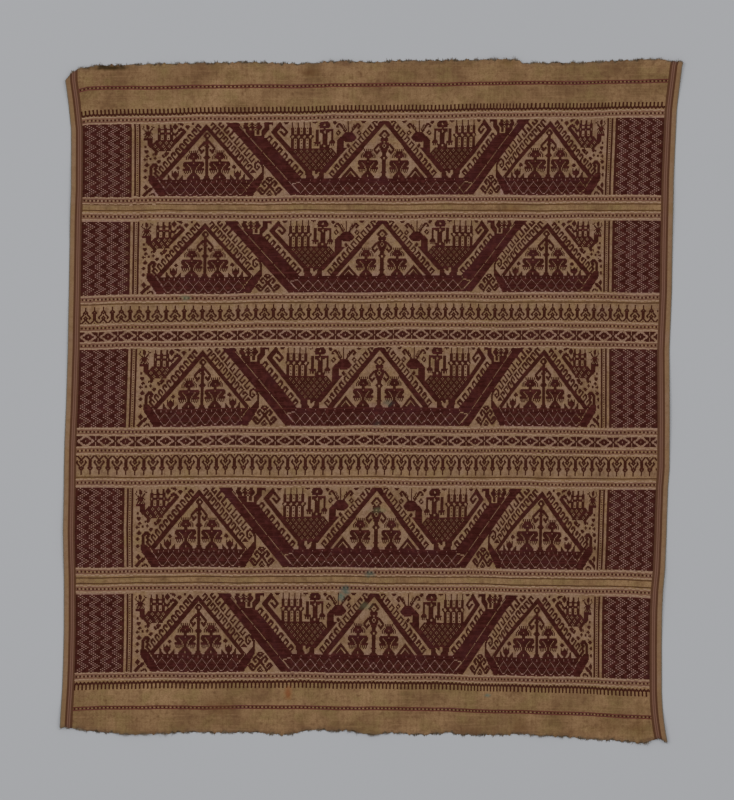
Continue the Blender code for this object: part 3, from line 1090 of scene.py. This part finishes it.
TOOTH_WIDEN = 0.36


def offset(heights, steps):
    """A line's three heights, moved down by some steps."""
    return np.asarray(heights, float) + steps


red, dotted, pale, brown, crimson = [], [], [], [], []
for heights in GUARDS:
    for side in (-1, 1):
        tone = chance.normal(0.5, 0.2)
        red.append((0, BAND_COLUMNS, offset(heights, RED_FROM_DOTS * side), 0.55, tone))
        for start in range(0, BAND_COLUMNS, DOT_REPEAT):
            stray = 0.4 * math.sin(start * 0.82) + chance.normal(0, 0.2)
            along = offset(heights, CORD_FROM_DOTS * side + stray)
            pale.append((start + 0.1, start + 3.9, along, 0.7, chance.normal(0.5, 0.2)))
    for start in range(1, BAND_COLUMNS - DOT_WIDE, DOT_REPEAT):
        along = offset(heights, chance.normal(0, 0.15))
        dotted.append((start, start + DOT_WIDE, along, 1.0, chance.normal(0.6, 0.3)))
for heights in BROWN_LINES:
    brown.append((0, BAND_COLUMNS, heights, 0.6, chance.normal(0.5, 0.2)))
for heights in RED_LINES:
    for side in (-1, 1):
        tone = chance.normal(0.5, 0.2)
        crimson.append((0, BAND_COLUMNS, offset(heights, CRIMSON_FROM_DOTS * side), 0.6, tone))
    for start in range(1, BAND_COLUMNS - DOT_WIDE, DOT_REPEAT):
        dotted.append((start, start + DOT_WIDE, offset(heights, 0.0), 0.9, chance.normal(0.6, 0.3)))
for *edges, way in COMBS:
    teeth = repeat(TOOTH if way == "up" else TOOTH[::-1], DOT_REPEAT, BAND_COLUMNS)
    dotted += chart_floats(teeth, edges, TOOTH_WIDTH, TOOTH_WIDEN)
weave("guard_lines", red, red_cotton)
weave("end_lines", crimson, crimson_cotton)
weave("guard_dots_and_combs", dotted, maroon_cotton)
weave("pale_cords", pale, pale_cotton, crown=CORD_CROWN)
weave("brown_lines", brown, brown_cotton)

# Frayed ends. The cloth was cut from the loom and never hemmed, so loose warp ends, mostly one to
# three millimetres long, stand out of both raw ends. Each is a thin three-sided tapering thread.
FRAY_THREADS = 1400             # at each end
FRAY_REACH = 3.0
FRAY_ROOT = 2.4                 # how far a thread reaches back into the cloth
FRAY_LIFT = 0.0004              # metres over the cloth's underside
FRAY_PROFILE = ((-0.8, 1.0), (0.0, 0.9), (0.5, 0.7), (1.0, 0.35))     # share of its length, width
FRAY_SIDES = 3
points, faces = [], []
for table, outward in ((UPPER_END, -1), (LOWER_END, 1)):
    for across in np.linspace(table[0][0] + 1, table[-1][0] - 1, FRAY_THREADS):
        down = read(table, across)
        clump = math.sin(across / 2.1 + 1.8 * math.sin(across / 5.7 + outward))
        clumped = min(max(0.4 + 1.4 * clump, 0.0), 1.0)
        reach = FRAY_REACH * (0.1 + 0.5 * clumped + chance.exponential(0.15))
        lean = chance.normal(0, 0.35) * reach
        wide = 0.2 + 0.22 * chance.random()
        base = len(points)
        for share, size in FRAY_PROFILE:
            x = across + lean * max(share, 0) ** 2
            y = down + outward * (reach * share if share > 0 else FRAY_ROOT * share)
            up = float(height(x, y)) + FRAY_LIFT
            for turn in range(FRAY_SIDES):
                angle = math.tau * turn / FRAY_SIDES + math.pi / 2
                points.append((
                    (x + math.cos(angle) * wide * size - MIDDLE[0]) * PICK,
                    (MIDDLE[1] - y) * PICK,
                    up + (math.sin(angle) * wide * size * 0.9 + 0.1) * PICK,
                ))
        for loop in range(len(FRAY_PROFILE) - 1):
            for turn in range(FRAY_SIDES):
                a = base + loop * FRAY_SIDES + turn
                b = base + loop * FRAY_SIDES + (turn + 1) % FRAY_SIDES
                faces.append((a, b, b + FRAY_SIDES, a + FRAY_SIDES))
        faces.append((len(points) - 3, len(points) - 2, len(points) - 1))
fray_cotton = dyed_cotton("loose_handspun_warp_ends", "#5E4E3A", "#8A7A66", "#4C4030", "#5E4E3A", 0.0)
fringe = make_piece("frayed_ends", points, faces, fray_cotton)
store(fringe.data, "tone", np.repeat(chance.random(FRAY_THREADS * 2), FRAY_SIDES * len(FRAY_PROFILE)))
store(fringe.data, "length", np.ones(len(points)))

# Surface and light. A plain pale grey paper surface, lit from above by two soft boxes and the room.
FLOOR_GREY = "#B5B6BA"
FLOOR_SHADE = "#B0B1B5"
FLOOR_HALF = 3.0
floor_mesh = bpy.data.meshes.new("floor")
floor_corners = [(x * FLOOR_HALF, y * FLOOR_HALF, 0) for x, y in ((-1, -1), (1, -1), (1, 1), (-1, 1))]
floor_mesh.from_pydata(floor_corners, [], [(0, 1, 2, 3)])
floor = bpy.data.objects.new("floor", floor_mesh)
bpy.context.scene.collection.objects.link(floor)
paper, tree = new_material("matt_grey_paper")
place = add(tree, "ShaderNodeTexCoord").outputs["Object"]
tooth = add(tree, "ShaderNodeTexNoise", {"Vector": place, "Scale": 3.0, "Detail": 2.0})
colour = lay(tree, linear(FLOOR_GREY), [(tooth.outputs["Fac"], 0.3, 0.7, 0.0, 0.25, FLOOR_SHADE)])
shader = add(tree, "ShaderNodeBsdfPrincipled", {"Base Color": colour, "Roughness": 0.9,
                                               "Specular IOR Level": 0.1})
add(tree, "ShaderNodeOutputMaterial", {0: shader.outputs[0]})
floor_mesh.materials.append(paper)

LIGHTS = (
    # name, place, width, watts
    ("left_soft_box", (-1.5, 0.35, 2.4), 1.4, 30.0),
    ("right_soft_box", (1.5, 0.35, 2.4), 1.4, 22.0),
)
for name, place, width, watts in LIGHTS:
    light_data = bpy.data.lights.new(name, "AREA")
    light_data.shape = "SQUARE"
    light_data.size = width
    light_data.energy = watts
    light = bpy.data.objects.new(name, light_data)
    bpy.context.scene.collection.objects.link(light)
    light.location = place
    away = -light.location
    light.rotation_euler = away.to_track_quat("-Z", "Y").to_euler()
ROOM_LIGHT = (0.95, 0.97, 1.0, 1.0)
ROOM_STRENGTH = 0.55
world = bpy.data.worlds.new("room")
bpy.context.scene.world = world
world.use_nodes = True
world.node_tree.nodes["Background"].inputs[0].default_value = ROOM_LIGHT
world.node_tree.nodes["Background"].inputs[1].default_value = ROOM_STRENGTH

bpy.context.view_layer.update()
